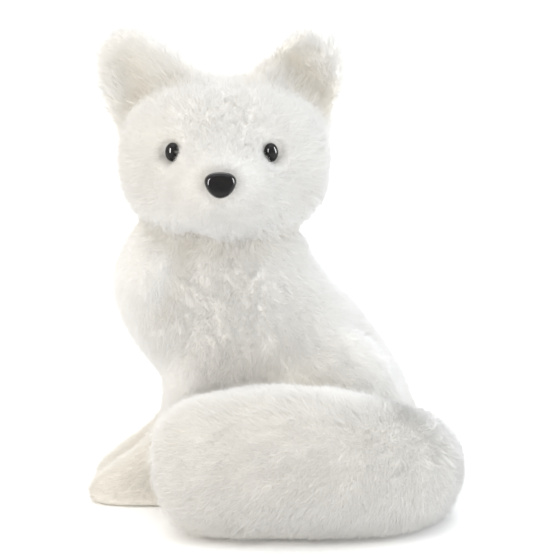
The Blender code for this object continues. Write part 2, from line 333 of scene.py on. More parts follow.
def tucks(points, share):
    """How far the skin is drawn in beside the ruff, in the ears and round the eyes, in metres. It is below 0
    where the skin is pushed out: on the ruff, at the ears' rims, behind the nose and by extra stuffing."""
    low, high = (np.array(corner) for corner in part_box("chest"))
    ends = [within("chest", part) for part in ((0.66, 0.0, 0.94), (0.42, 0.0, 0.50))]
    line = ends[1] - ends[0]
    along = np.clip((points - ends[0]) @ line / (line @ line), 0, 1)
    beside = points - ends[0] - along[:, None] * line
    away = np.hypot(beside[:, 0], beside[:, 2])
    front = 1 - ramp(points[:, 1], low[1] + 14 * MM, low[1] + 30 * MM)
    groove = 3.2 * MM * np.exp(-((away / (6.0 * MM)) ** 2))
    ruff = np.linalg.norm((points - low - (high - low) * np.array((0.25, 0.1, 0.72))) / (15 * MM), axis=1)
    depth = front * (groove - 2.2 * MM * np.exp(-(ruff ** 2)))
    for ear in EARS:
        rim = ramp(beside_ear(points, ear), 8 * MM, 17 * MM)
        low_down = 1 - ramp(points[:, 2], centre_of(ear)[2] - 8 * MM, centre_of(ear)[2] + 10 * MM)
        fuller = rim * (0.4 + 1.6 * low_down) * MM
        depth += share[:, PARTS.index(ear)] * (3.4 * MM * hollow_of_ear(points, ear) - fuller)
    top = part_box("ear_left")[1][2]
    depth += 2.0 * MM * share[:, PARTS.index("ear_left")] * ramp(points[:, 2], top - 16 * MM, top)
    for eye in EYES.values():
        depth += 1.0 * MM * mound(points, eye, 8 * MM)
    depth -= 2.6 * MM * np.exp(-((np.linalg.norm(points - NOSE, axis=1) / (13 * MM)) ** 4))
    return depth - sum(
        amount * MM * mound(points, within(node, part), reach * MM)
        for node, part, amount, reach in EXTRA_STUFFING
    )


def shade_round_features(points):
    """1 where shade is painted round the nose, most above it, and round the eyes, most on their outer sides,
    falling to 0 a little way off.
    """
    offset = points - NOSE
    half = half_size("nose")
    off_nose = (np.hypot(offset[:, 0] / half[0], offset[:, 2] / half[2]) - 1) * half[0]
    above = (0.45 + 0.55 * ramp(offset[:, 2], -6 * MM, 4 * MM)) * (1 - ramp(offset[:, 1], 4 * MM, 10 * MM))
    halo_shade = above * np.exp(-((np.maximum(off_nose, 0) / (3.0 * MM)) ** 2))
    for eye in EYES.values():
        offset = points - eye
        outer = ramp(offset[:, 0] * np.sign(eye[0] - NOSE[0]), -5 * MM, 3 * MM)
        off_eye = np.maximum(np.linalg.norm(offset, axis=1) - 4 * MM, 0)
        halo_shade = np.maximum(halo_shade, (0.25 + 0.5 * outer) * np.exp(-((off_eye / (3.2 * MM)) ** 2)))
    return halo_shade


def curliness(points):
    """1 on the bib and the forehead, where the pile curls most, falling to 0 round them."""
    bib = within("chest", (0.9, 0.0, 0.55))
    crown = np.array([NOSE[0], HEAD_MIDDLE[1] - 30 * MM, HEAD_MIDDLE[2] + 20 * MM])
    away = [np.linalg.norm((points - place) / (26 * MM), axis=1) for place in (bib, crown)]
    return 1 - ramp(np.minimum(*away), 0.6, 1.3)


def face_nearness(points):
    """1 at the nose and round the eyes, falling to 0 on the cheeks and the forehead."""
    nose = 1 - ramp(np.linalg.norm(points - NOSE, axis=1), 8 * MM, 48 * MM)
    eyes = [1 - ramp(np.linalg.norm(points - eye, axis=1), 4 * MM, 20 * MM) for eye in EYES.values()]
    return np.maximum(nose, 0.6 * np.maximum(*eyes))


# ---- The skin

def joined_solids():
    """One closed surface round all the flesh parts."""
    points_list, triangles_list, start = [], [], 0
    for part in PARTS:
        points, triangles = arrays_of(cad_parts[part].data)
        points = points + GROWN * vertex_normals(points, triangles)
        points_list.append(points)
        triangles_list.append(triangles + start)
        start += len(points)
    points, triangles = remeshed(np.concatenate(points_list), np.concatenate(triangles_list), FIRST_GRID)
    points, triangles = largest_part(points, triangles)
    return relaxed(points, triangles, 4), triangles


def filled_out(points, triangles, share):
    """The surface with the body's creases filled, as stuffing fills them, and a little less on its front."""
    back = 0.75 + 0.25 * ramp(points[:, 1], 5 * MM, 30 * MM)
    normals = vertex_normals(points, triangles)
    stuffing = np.maximum(dot(relaxed(points, triangles, 70) - points, normals)[:, 0], 0)
    stuffing *= belonging(share, BODY) * back * ramp(points[:, 2], 8 * MM, 26 * MM)
    return points + relaxed(stuffing[:, None], triangles, 4) * normals


def skin_depth(points, triangles, share):
    """How far the skin lies inside the surface at each point: under the pile, the seams and the tucks."""
    lift = np.radians(by_part(share, "lift"))
    rise = np.sin(lift) + np.sin(TIP_LIFT * lift)
    depth = by_part(share, "deep") * by_part(share, "length") * MM * rise / 2
    depth *= 1 - FACE_SHORTER * belonging(share, ["head"]) * face_nearness(points)
    seams = seam_nearness(share) * (1 - 0.7 * face_nearness(points)) * (1 - belonging(share, EARS))
    seams = seams * (1 - np.minimum(1.7 * belonging(share, TAIL), 1))
    depth += SEAM_DEPTH * seams
    depth += tucks(points, share)
    depth *= 0.1 + 0.9 * ramp(points[:, 2], 0, 9 * MM)
    return relaxed(depth[:, None], triangles, 4)


def stuffed_skin():
    """One closed surface inside the flesh parts by the depth of their pile."""
    points, triangles = joined_solids()
    share = nearness(points)
    points = filled_out(points, triangles, share)
    depth = skin_depth(points, triangles, share)
    for _ in range(SHRINKING_STEPS):
        normals = relaxed(vertex_normals(points, triangles), triangles, 2)
        points = points - unit(normals) * depth / SHRINKING_STEPS
        points = relaxed(points, triangles, 1)
    points, triangles = remeshed(points, triangles, LAST_GRID)
    points, triangles = largest_part(points, triangles)
    points = relaxed(points, triangles, 2)
    points[:, 2] = np.maximum(points[:, 2], 0.3 * MM)
    return points, triangles


# ---- Which way the pile lies

def smooth_path(points, steps=12):
    """Points along a smooth curve through these."""
    padded = [2 * points[0] - points[1], *points, 2 * points[-1] - points[-2]]
    result = []
    for a, b, c, d in zip(padded, padded[1:], padded[2:], padded[3:]):
        for step in range(steps):
            t = step / steps
            result.append(0.5 * (
                2 * b + (c - a) * t + (2 * a - 5 * b + 4 * c - d) * t * t
                + (3 * b - a - 3 * c + d) * t * t * t
            ))
    return np.array(result + [points[-1]])


def along_tail(points):
    """The tail's own direction beside each point, towards its tip."""
    base, middle, tip = (centre_of(name) for name in TAIL)
    end = np.array([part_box("tail_tip")[0][0], tip[1], tip[2]])
    path = smooth_path([base + (base - middle) * 0.6, base, middle, tip, end])
    heading = unit(np.gradient(path, axis=0))
    nearest = np.argmin(((points[:, None] - path[None]) ** 2).sum(axis=2), axis=1)
    droop = 0.22 + 1.1 * (1 - ramp(nearest / len(path), 0.3, 0.72))
    return heading[nearest] - droop[:, None] * UP


def lie_of_ear(points, ear):
    """Up the ear, fanning out towards its rims."""
    across = across_ear(ear)
    offset = (points - centre_of(ear)) @ across / (20 * MM)
    return long_axis(ear) + 0.85 * offset[:, None] * across


def lie_of_pile(points, share):
    """The direction in which the hair points at each place, before it is laid along the skin."""
    from_nose = unit(points - NOSE)
    behind = ramp(points[:, 1], HEAD_MIDDLE[1], HEAD_MIDDLE[1] + 45 * MM)[:, None]
    low = 1 - ramp(points[:, 2], 10 * MM, 26 * MM)[:, None]
    shin = np.array([-0.15, -0.05, -1.0])
    toes = np.array([-1.0, -0.05, -0.25])
    lies = {
        "head": from_nose - 0.22 * UP + behind * (0.35 * FORWARDS - 0.8 * UP),
        "chest": np.array([-0.15, -0.15, -1.0]),
        "trunk": np.array([0.28, -0.05, -1.0]),
        **{ear: lie_of_ear(points, ear) for ear in EARS},
        **dict.fromkeys(THIGHS, np.array([0.55, 0.0, -0.8])),
        **dict.fromkeys(FRONT_LEGS, shin * (1 - low) + toes * low),
        **dict.fromkeys(HIND_FEET, toes),
        **dict.fromkeys(TAIL, along_tail(points)),
    }
    total = np.zeros_like(points)
    for column, part in enumerate(PARTS):
        lie = unit(np.broadcast_to(lies[part], points.shape))
        total += share[:, column, None] * lie
    return total


def wavering(points, size, seed):
    """Smooth noise from about -1 to 1 at each point, with bumps of about this size."""
    offset = Vector((seed, seed * 1.7, -seed))
    return np.array([noise.noise(Vector(point) / size + offset) for point in points.tolist()]) * 1.6


def turned_about(vectors, axes, angles):
    angles = angles[:, None]
    return (
        vectors * np.cos(angles) + np.cross(axes, vectors) * np.sin(angles)
        + axes * dot(axes, vectors) * (1 - np.cos(angles))
    )


def combed(points, triangles, normals, share, tousle, curl):
    """The way the pile lies along the skin, turned to and fro where it is tousled."""
    lie = lie_of_pile(points, share)
    lie = relaxed(unit(lie - normals * dot(lie, normals)), triangles, 4)
    lie = unit(lie - normals * dot(lie, normals))
    turn = tousle * (
        0.7 * wavering(points, 24 * MM, 3) + 0.8 * wavering(points, 9 * MM, 8) * (1 - 0.5 * curl)
        + 0.8 * wavering(points, 4 * MM, 5) + 0.5 * curl * wavering(points, 2.6 * MM, 9)
    )
    return turned_about(lie, normals, turn)


def density(points, triangles, normals, share, face):
    """How densely tufts grow: most on the face, and thinly where other skin shuts them in or the toy sits."""
    tree = BVHTree.FromPolygons(points.tolist(), triangles.tolist())
    shut = np.array([
        tree.ray_cast(Vector(p) + Vector(n) * MM, Vector(n), 16 * MM)[0] is not None
        for p, n in zip(points.tolist(), normals.tolist())
    ])
    under = (normals[:, 2] < -0.7) & (points[:, 2] < 4 * MM)
    dense = by_part(share, "dense") * (1 + 1.9 * face + 0.15 * belonging(share, EARS))
    return dense * np.where(shut, 0.45, 1) * np.where(under, 0.25, 1)


def colouring(points, triangles, normals, share, face):
    """How light the pile is painted, how far the face's darker painted shade takes over, and how much warm
    shade is painted on it. It is painted lighter under the chin, darker on the front-facing sides of some
    parts and on the paws, and stays white on sides facing back; warm shade is painted in folds, ear hollows,
    on the paws and behind the tail."""
    chin = belonging(share, ["head"]) * (1 - ramp(points[:, 2], NOSE[2] - 24 * MM, NOSE[2] - 8 * MM))
    chin *= 1 - ramp(points[:, 1], HEAD_MIDDLE[1], HEAD_MIDDLE[1] + 20 * MM)
    paw = belonging(share, FRONT_LEGS) * (1 - ramp(points[:, 2], 24 * MM, 46 * MM))
    # Painted shade on front-facing sides, painted light under the chin, painted shade on the paws
    white = by_part(share, "white")
    white += chin * (1 - white)
    white *= 1 - 0.9 * paw
    white = 1 - (1 - white) * (1 - ramp(normals[:, 1], -0.35, 0.3))
    # Warm painted shade in folds and tucks, in the ear hollows, where the body meets the tail and on the paws
    folds = 0.9 * seam_nearness(share) * (1 - 0.8 * belonging(share, EARS)) + tucks(points, share) / (4 * MM)
    hollows = sum(share[:, PARTS.index(ear)] * hollow_of_ear(points, ear) for ear in EARS)
    off_tail = np.array([
        min(TREES[tail].find_nearest(point)[3] for tail in TAIL) for point in points.tolist()
    ])
    behind_tail = 0.7 * belonging(share, BODY) * np.exp(-((off_tail / (14 * MM)) ** 2))
    behind_tail = behind_tail * (1 - ramp(points[:, 0], 20 * MM, 44 * MM))
    warm_shade = relaxed((0.5 * folds + hollows + behind_tail + 0.6 * paw)[:, None], triangles, 6)
    return white, face * (1 - 0.9 * chin), np.clip(warm_shade, 0, 1)


def pile_over(points, triangles):
    """Everything the tufts need to know at each point of the skin, as a dict of arrays."""
    normals = vertex_normals(points, triangles)
    share = nearness(points)
    head, ears = belonging(share, ["head"]), belonging(share, EARS)
    face = head * face_nearness(points)
    curl = curliness(points)
    tousle = by_part(share, "tousle") * (1 - 0.5 * face) + 0.6 * curl
    rims = [share[:, PARTS.index(ear)] * beside_ear(points, ear) for ear in EARS]
    rim = ramp(np.maximum(*rims), 8 * MM, 19 * MM)
    jowl = head * (1 - face) * (1 - ramp(points[:, 2], HEAD_MIDDLE[2] - 22 * MM, HEAD_MIDDLE[2] + 8 * MM))
    jowl *= 1 - ramp(points[:, 1], HEAD_MIDDLE[1] - 4 * MM, HEAD_MIDDLE[1] + 22 * MM)
    spiky = np.maximum(0.15 * (1 - curl), np.maximum(0.85 * rim, 0.9 * jowl))
    length = by_part(share, "length") * MM * (1 - FACE_SHORTER * face)
    length *= 0.4 + 0.6 * ramp(points[:, 2], 0, 9 * MM)
    length *= 1 + 0.5 * rim
    length *= 1 + 0.25 * seam_nearness(share) * (1 - face)
    length *= 1 + 0.14 * wavering(points, 14 * MM, 21)
    lift = np.radians(by_part(share, "lift")) * (1 - 0.2 * face)
    lift *= 1 + 0.2 * wavering(points, 17 * MM, 33) * (1 - face)
    white, face_shade, warm_shade = colouring(points, triangles, normals, share, face)
    return {
        "share": share, "normal": normals, "lie": combed(points, triangles, normals, share, tousle, curl),
        "length": length[:, None], "lift": lift[:, None],
        "thick": (by_part(share, "thick") * MM * (1 - 0.36 * face))[:, None],
        "dense": density(points, triangles, normals, share, face)[:, None],
        "tousle": tousle[:, None], "spiky": spiky[:, None], "curl": curl[:, None], "face": face[:, None],
        "plain": (0.36 - 0.22 * ears - 0.14 * curl)[:, None],
        "white": white[:, None], "face_shade": face_shade[:, None], "warm_shade": warm_shade,
        "halo_shade": shade_round_features(points)[:, None],
    }


# ---- Tufts

def sprinkled(points, triangles, pile, count):
    """(triangle, its three weights) for this many places on the skin, denser where the pile is."""
    corners = points[triangles]
    area = np.linalg.norm(np.cross(corners[:, 1] - corners[:, 0], corners[:, 2] - corners[:, 0]), axis=1)
    weight = area * pile["dense"][triangles].mean(axis=1)[:, 0]
    steps = np.cumsum(weight) / weight.sum()
    chosen = np.searchsorted(steps, (np.arange(count) + rng.random(count)) / count)
    chosen = np.minimum(chosen, len(triangles) - 1)
    root, turn = np.sqrt(rng.random(count)), rng.random(count)
    return chosen, np.stack([1 - root, root * (1 - turn), root * turn], axis=1)


def at_roots(values, triangles, chosen, weights):
    return np.einsum("nkj,nk->nj", values[triangles[chosen]], weights)


def leaders_of(roots, size):
    """For each tuft the first tuft of its lock, with about this many tufts to a lock."""
    leaders = rng.choice(len(roots), max(1, len(roots) // size), replace=False)
    tree = kdtree.KDTree(len(leaders))
    for place, leader in enumerate(leaders):
        tree.insert(roots[leader], place)
    tree.balance()
    return leaders[[tree.find(root)[1] for root in roots.tolist()]]


def drawn_together(roots, tips, own, strength):
    """How far each tip is drawn towards the tip of its lock's first tuft."""
    reach = np.linalg.norm(roots - roots[own], axis=1, keepdims=True)
    length = np.linalg.norm(tips - roots, axis=1, keepdims=True)
    return strength * np.clip(1.6 - reach / length, 0, 1) * (tips[own] - tips)


def straying(count, at, own, bunch, bent):
    """How far each tuft turns from the lie of the pile, in radians."""
    curl = at["curl"][:, 0]
    stray = rng.normal(0, STRAY.own, count) * (1 - 0.4 * curl)
    stray += rng.normal(0, STRAY.lock, count)[own] * (at["tousle"][:, 0] + 0.4 * curl)
    stray += rng.normal(0, STRAY.bunch, count)[bunch] * at["spiky"][:, 0]
    if bent:
        stray += rng.normal(0, 0.6, count) * (1 - at["face"][:, 0])
    return stray


def toned(count, at, own, bunch, bent):
    """How light each tuft is painted, from about 0 to 1: a tone that differs at random bunch by bunch and
    lock by lock, times the painted lightness (painted shade on front-facing sides and paws, painted light
    under the chin);
    on the face a darker painted shade with its own random tone takes over.
    """
    shade = rng.random(count) * SHADE.own + rng.random(count)[own] * SHADE.lock
    shade = shade + rng.random(count)[bunch] * SHADE.bunch
    tousle = np.minimum(at["tousle"][:, 0], 1)
    tone = np.full(count, 1.0) if bent else np.clip(1.15 - 0.9 * tousle * shade, 0, 1)
    tone *= at["white"][:, 0]
    # On the face a darker painted shade, with its own random tone, takes over from the tone
    on_face = 1.1 * (1 - shade) - 0.4
    return tone + at["face_shade"][:, 0] * (on_face - tone)


def grown(points, triangles, pile, count, bent):
    """Tufts as a dict: their spines of three or two points, and what the mesh of each one needs."""
    chosen, weights = sprinkled(points, triangles, pile, count)
    at = {
        name: at_roots(values, triangles, chosen, weights)
        for name, values in pile.items() if name not in ("share", "dense")
    }
    at["normal"] = unit(at["normal"])
    root = at_roots(points, triangles, chosen, weights)
    own, bunch = leaders_of(root, LOCK), leaders_of(root, SPIKE)
    tousle, spiky = at["tousle"], at["spiky"]
    lie = turned_about(unit(at["lie"]), at["normal"], straying(count, at, own, bunch, bent))
    fly = (rng.random((count, 1)) < 0.12) * (1 - at["face"])
    rising = rng.normal(0, RISE.own, (count, 1)) + rng.normal(0, RISE.lock, (count, 1))[own] * tousle
    rising += rng.normal(0, RISE.bunch, (count, 1))[bunch] * spiky
    lift = at["lift"] * (1 + rising) + 0.25 * fly
    length = at["length"] * (1 + rng.normal(0, 0.15, (count, 1))) * (1 + 0.15 * fly)
    length = length * (0.82 if bent else rng.uniform(0.6, 1.0, (count, 1)))
    rise, run = np.sin(lift), np.cos(lift)
    tip_lift = lift * TIP_LIFT
    middle = root + 0.5 * length * (run * lie + rise * at["normal"])
    tip = middle + 0.5 * length * (np.cos(tip_lift) * lie + np.sin(tip_lift) * at["normal"])
    pull = drawn_together(root, tip, own, 0.4 * np.minimum(tousle, 0.8))
    pull += drawn_together(root, tip, bunch, 0.6 * spiky)
    pull = pull * (1 - 0.5 * at["face"])
    root = root - ROOT_DEPTH * at["normal"]
    knots = [root, middle + 0.3 * pull, tip + pull] if bent else [root, tip + pull]
    spine = np.stack(knots, axis=1)
    spine[:, :, 2] = np.maximum(spine[:, :, 2], 0.15 * MM)
    return {
        "spine": spine, "normal": at["normal"], "thick": at["thick"] * (1.05 if bent else 1.0),
        "plain": at["plain"], "tone": toned(count, at, own, bunch, bent), "warm_shade": at["warm_shade"][:, 0],
        "halo_shade": at["halo_shade"][:, 0], "chosen": chosen, "weights": weights,
    }


def clear_of_features(tufts):
    """Which tufts leave the eyes and the nose showing, but for the hair that leans over their edges."""
    spine = tufts["spine"]
    keep = np.ones(len(spine), bool)
    for name, place in EYES.items():
        axis = thin_axis(name)
        outwards = np.array([math.copysign(1.0, place[0] - NOSE[0]), 0, 0.4])
        away = spine - place - HAIR_OVER_EYE[name] * outwards
        out = away @ axis
        beside = np.linalg.norm(away - out[..., None] * axis, axis=2)
        covers = (out > -4 * MM) & (beside < 4.6 * MM)
        covers[:, -1] = (out[:, -1] > -4 * MM) & (beside[:, -1] < 4.0 * MM)
        keep &= ~covers.any(axis=1)
    away = (spine - NOSE) / half_size("nose")
    covers = (np.hypot(away[..., 0], away[..., 2]) < 0.97) & (away[..., 1] < 0.3)
    keep &= ~covers.any(axis=1)
    return keep


def picked(tufts, keep):
    return {name: values[keep] for name, values in tufts.items()}


def tuft_mesh(tufts, uv_at):
    """(points, triangles, normals, uv, and a dict to paint) of tufts as three-sided tapering spikes."""
    spine, normal = tufts["spine"], tufts["normal"]
    count, knots = spine.shape[:2]
    points, normals, along, uv = [], [], [], []
    heading = unit(spine[:, 1] - spine[:, 0])
    for knot in range(knots - 1):
        if knot:
            heading = unit(spine[:, knot + 1] - spine[:, knot - 1])
        side = unit(np.cross(heading, normal))
        top = np.cross(side, heading)
        radius = tufts["thick"] * (1.0 if knot == 0 else 0.78)
        for corner in range(3):
            angle = math.radians(90 + 120 * corner)
            radial = math.cos(angle) * side + math.sin(angle) * top
            points.append(spine[:, knot] + radius * radial)
            normals.append(unit(tufts["plain"] * normal + 0.7 * radial))
            along.append(np.full(count, knot / (knots - 1)))
            uv.append(uv_at + PATCH * np.array([corner - 1.0, 2 * knot / (knots - 1) - 1]))
    points.append(spine[:, -1])
    normals.append(unit(2 * tufts["plain"] * normal + 0.4 * heading))
    along.append(np.ones(count))
    uv.append(uv_at + np.array([0.0, PATCH]))
    size = 3 * (knots - 1) + 1
    faces = []
    for knot in range(knots - 2):
        for corner in range(3):
            a, b = 3 * knot + corner, 3 * knot + (corner + 1) % 3
            faces += [(b, a, a + 3), (b, a + 3, b + 3)]
    last = 3 * (knots - 2)
    faces += [(last + (corner + 1) % 3, last + corner, size - 1) for corner in range(3)]
    triangles = np.arange(count)[:, None, None] * size + np.array(faces)[None]
    gathered = [np.stack(values, axis=1).reshape(count * size, -1) for values in (points, normals, along, uv)]
    paints = [gathered[2][:, 0], *(np.repeat(tufts[name], size) for name in PAINTED[1:])]
    return gathered[0], triangles.reshape(-1, 3), gathered[1], gathered[3], np.stack(paints, axis=1)


def unwrapped(points, triangles):
    """The UV of each corner of these triangles on an unwrap of their own shape."""
    used, index = np.unique(triangles, return_inverse=True)
    mesh = mesh_of("unwrap", points[used], index.reshape(-1, 3))
    piece = piece_of(mesh)
    mesh.uv_layers.new(name="OFBake")
    bpy.context.view_layer.objects.active = piece
    piece.select_set(True)
    bpy.ops.object.mode_set(mode="EDIT")
    bpy.ops.mesh.select_all(action="SELECT")
    bpy.ops.uv.smart_project(angle_limit=math.radians(66), island_margin=0.004)
    bpy.ops.object.mode_set(mode="OBJECT")
    uv = np.empty(len(mesh.loops) * 2)
    mesh.uv_layers["OFBake"].data.foreach_get("uv", uv)
    bpy.data.objects.remove(piece)
    bpy.data.meshes.remove(mesh)
    return np.clip(uv.reshape(-1, 3, 2), 0.002, 0.998)


def coat_piece(name, parts_of_mesh, finish):
    """One piece of the coat, joined from long and short tufts."""
    start, gathered = 0, [[], [], [], [], []]
    for arrays in parts_of_mesh:
        for store, values in zip(gathered, arrays):
            store.append(values)
        gathered[1][-1] = gathered[1][-1] + start
        start += len(arrays[0])
    points, triangles, normals, uv, paints = (np.concatenate(values) for values in gathered)
    mesh = mesh_of(name, points, triangles)
    mesh.shade_smooth()
    layer = mesh.uv_layers.new(name="OFBake")
    layer.data.foreach_set("uv", uv[triangles.ravel()].ravel())
    for label, values in zip(PAINTED, paints.T):
        paint(mesh, label, values)
    mesh.normals_split_custom_set_from_vertices(normals)
    mesh.materials.append(finish)
    piece = piece_of(mesh)
    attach(piece, "root")
    return piece


def build_coat(points, triangles, pile, finish):
    """The pile over the whole skin, in pieces named for the part they grow on."""
    owner = pile["share"][triangles].sum(axis=1).argmax(axis=1)
    kinds = []
    for count, bent in ((LONG_TUFTS, True), (SHORT_TUFTS, False)):
        tufts = grown(points, triangles, pile, count, bent)
        kinds.append(picked(tufts, clear_of_features(tufts)))
    for column, part in enumerate(PARTS):
        own = np.flatnonzero(owner == column)
        place = np.full(len(triangles), -1)
        place[own] = np.arange(len(own))
        uv = unwrapped(points, triangles[own])
        mine = [picked(tufts, place[tufts["chosen"]] >= 0) for tufts in kinds]
        size = len(mine[0]["tone"]) * 9 + len(mine[1]["tone"]) * 3
        pieces = math.ceil(size / MOST_TRIANGLES)
        for number in range(pieces):
            meshes = []
            for tufts in mine:
                some = picked(tufts, slice(number, None, pieces))
                uv_at = np.einsum("nkj,nk->nj", uv[place[some["chosen"]]], some["weights"])
                meshes.append(tuft_mesh(some, uv_at))
            label = f"coat_{part}" if pieces == 1 else f"coat_{part}_{number + 1}"
            coat_piece(label, meshes, finish)


# ---- Finishes

class Wire:
    """A shader socket that sums can be written with."""

    def __init__(self, nodes, socket):
        self.nodes, self.socket = nodes, socket

    def sum_with(self, operation, first, second):
        return self.nodes.node("ShaderNodeMath", {"operation": operation}, {0: first, 1: second})

    def __add__(self, other):
        return self.sum_with("ADD", self, other)

    __radd__ = __add__

    def __sub__(self, other):
        return self.sum_with("SUBTRACT", self, other)

    def __rsub__(self, other):
        return self.sum_with("SUBTRACT", other, self)

    def __mul__(self, other):
        return self.sum_with("MULTIPLY", self, other)

    __rmul__ = __mul__

    def __pow__(self, other):
        return self.sum_with("POWER", self, other)


class Nodes:
    """A shader node tree under construction, around the one node that it ends in."""

    def __init__(self, owner, ending):
        owner.use_nodes = True
        self.tree = owner.node_tree
        self.ending = self.tree.nodes[ending]

    def node(self, kind, settings, inputs, output=0):
        made = self.tree.nodes.new(kind)
        for name, value in settings.items():
            setattr(made, name, value)
        for key, value in inputs.items():
            if isinstance(value, Wire):
                self.tree.links.new(value.socket, made.inputs[key])
            else:
                made.inputs[key].default_value = value
        return Wire(self, made.outputs[output])

    def feed(self, label, wire):
        self.tree.links.new(wire.socket, self.ending.inputs[label])

    def mix(self, share, first, second, blend="MIX"):
        """A colour between two colours."""
        inputs = {0: share, 6: first, 7: second}
        return self.node("ShaderNodeMix", {"data_type": "RGBA", "blend_type": blend}, inputs, 2)

    def towards(self, direction, place):
        """How far a place lies in this direction."""
        inputs = {0: place, 1: direction}
        return self.node("ShaderNodeVectorMath", {"operation": "DOT_PRODUCT"}, inputs, "Value")


class Finish(Nodes):
    """A material under construction, around one Principled shader."""

    def __init__(self, name, **constants):
        self.material = bpy.data.materials.new(name)
        super().__init__(self.material, "Principled BSDF")
        for label, value in constants.items():
            self.ending.inputs[label.replace("_", " ")].default_value = value

    def noise(self, size, detail=2.0, roughness=0.5):
        """Noise whose patches are about this many metres across."""
        place = self.node("ShaderNodeTexCoord", {}, {}, "Object")
        inputs = {"Vector": place, "Scale": 1 / size, "Detail": detail, "Roughness": roughness}
        return self.node("ShaderNodeTexNoise", {}, inputs, "Fac")

    def painted(self, name):
        """The number that a mesh keeps at each point under this name."""
        return self.node("ShaderNodeAttribute", {"attribute_name": name}, {}, "Fac")

    def tinted(self, colour, share, none, full):
        """A colour multiplied by one between these two."""
        return self.mix(1.0, colour, self.mix(share, none, full), "MULTIPLY")

    def with_painted_shade(self, colour):
        """A colour of the pile or its backing, with warm painted shade in folds, ear hollows, on the paws and
        behind the tail, and grey painted shade round the nose and eyes.
        """
        colour = self.tinted(colour, self.painted("warm_shade"), WHITE, rgb(1.0, 0.97, 0.91))
        return self.tinted(colour, self.painted("halo_shade"), WHITE, rgb(0.74, 0.735, 0.73))

    def bump(self, height, distance, strength):
        inputs = {"Height": height, "Distance": distance, "Strength": strength}
        self.feed("Normal", self.node("ShaderNodeBump", {}, inputs))


def rgb(red, green, blue):
    return (red, green, blue, 1.0)


WHITE = rgb(1.0, 1.0, 1.0)


def white_pile():
    """Soft acrylic hair: warmer and a little darker at the roots as painted shade deep in the pile, white at
    the tips, in patches a little warmer or cooler.
    """
    finish = Finish("white_pile", Sheen_Weight=0.08, Sheen_Roughness=0.45, Specular_IOR_Level=0.35)
    along, tone = finish.painted("along"), finish.painted("tone")
    patch = finish.noise(0.028, 3.0)
    root = finish.mix(patch, rgb(0.985, 0.96, 0.907), rgb(0.98, 0.963, 0.925))
    tip = finish.mix(patch, rgb(0.992, 0.988, 0.978), rgb(0.988, 0.99, 0.99))
    hair = finish.mix(along ** 0.7, root, tip)
    # The tone carries random tuft-to-tuft tone together with painted shade and painted light
    hair = finish.tinted(hair, tone, rgb(0.86, 0.852, 0.838), WHITE)
    finish.feed("Base Color", finish.with_painted_shade(hair))
    finish.feed("Roughness", 0.66 - 0.26 * tone + 0.1 * finish.noise(0.006))
    return finish.material


def backing_cloth():
    """The knitted backing that the pile grows from, with fine short hair."""
    finish = Finish("backing_cloth", Sheen_Weight=0.2, Sheen_Roughness=0.5, Specular_IOR_Level=0.25)
    patch = finish.noise(0.028, 3.0)
    fine = finish.noise(0.0012, 4.0, 0.7)
    base = finish.mix(patch, rgb(0.93, 0.905, 0.86), rgb(0.93, 0.915, 0.885))
    cloth = finish.mix(fine, base, rgb(0.95, 0.945, 0.93))
    finish.feed("Base Color", finish.with_painted_shade(cloth))
    finish.feed("Roughness", 0.75 + 0.15 * fine)
    finish.bump(fine, 0.0006, 0.6)
    return finish.material


def black_plastic(name, grain):
    """Polished black plastic with faint haze and handling marks."""
    finish = Finish(name, Coat_Roughness=0.03, IOR=1.49, Specular_IOR_Level=0.18)
    haze = finish.noise(0.0025, 3.0)
    marks = finish.noise(0.0004, 5.0, 0.7)
    dark = finish.mix(haze, rgb(0.006, 0.006, 0.007), rgb(0.014, 0.013, 0.012))
    finish.feed("Base Color", dark)
    finish.feed("Roughness", grain + 0.04 * haze + 0.03 * marks)
    finish.feed("Coat Weight", 0.02 + 0.08 * haze)
    finish.bump(marks, 0.00003, 0.25)
    return finish.material


# ---- Eyes and nose

def turned_profile(profile, segments):
    """A bmesh of a profile of (radius, height) turned about local Z, from its lower pole to its upper."""
    mesh = bmesh.new()
    rings = []
    for radius, height in profile:
        if radius == 0:
            rings.append([mesh.verts.new((0, 0, height))])
            continue
        rings.append([
            mesh.verts.new((
                radius * math.cos(math.tau * k / segments), radius * math.sin(math.tau * k / segments), height
            ))
            for k in range(segments)
        ])
    for lower, upper in zip(rings, rings[1:]):
        for k in range(segments):
            corners = [lower[k % len(lower)], lower[(k + 1) % len(lower)]]
            corners += [upper[(k + 1) % len(upper)], upper[k % len(upper)]]
            mesh.faces.new(list(dict.fromkeys(corners)))
    bmesh.ops.recalc_face_normals(mesh, faces=mesh.faces[:])
    return mesh


def feature(name, mesh, place, finish):
    """Adds an eye or the nose in place of its plain solid."""
    data = bpy.data.meshes.new(f"{name}_moulded")
    mesh.to_mesh(data)
    mesh.free()
    data.shade_smooth()
    data.transform(place)
    data.materials.append(finish)
    piece = piece_of(data)
    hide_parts(name)
    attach(piece, "root")
    return piece


def facing(node):
    """A frame at a node's middle whose Z looks out of the head and whose Y is close to up."""
    out = Vector(thin_axis(node))
    side = Vector((0, 0, 1)).cross(out).normalized()
    up = out.cross(side)
    turn = Matrix((side, up, out)).transposed().to_4x4()
    return Matrix.Translation(Vector(centre_of(node))) @ turn


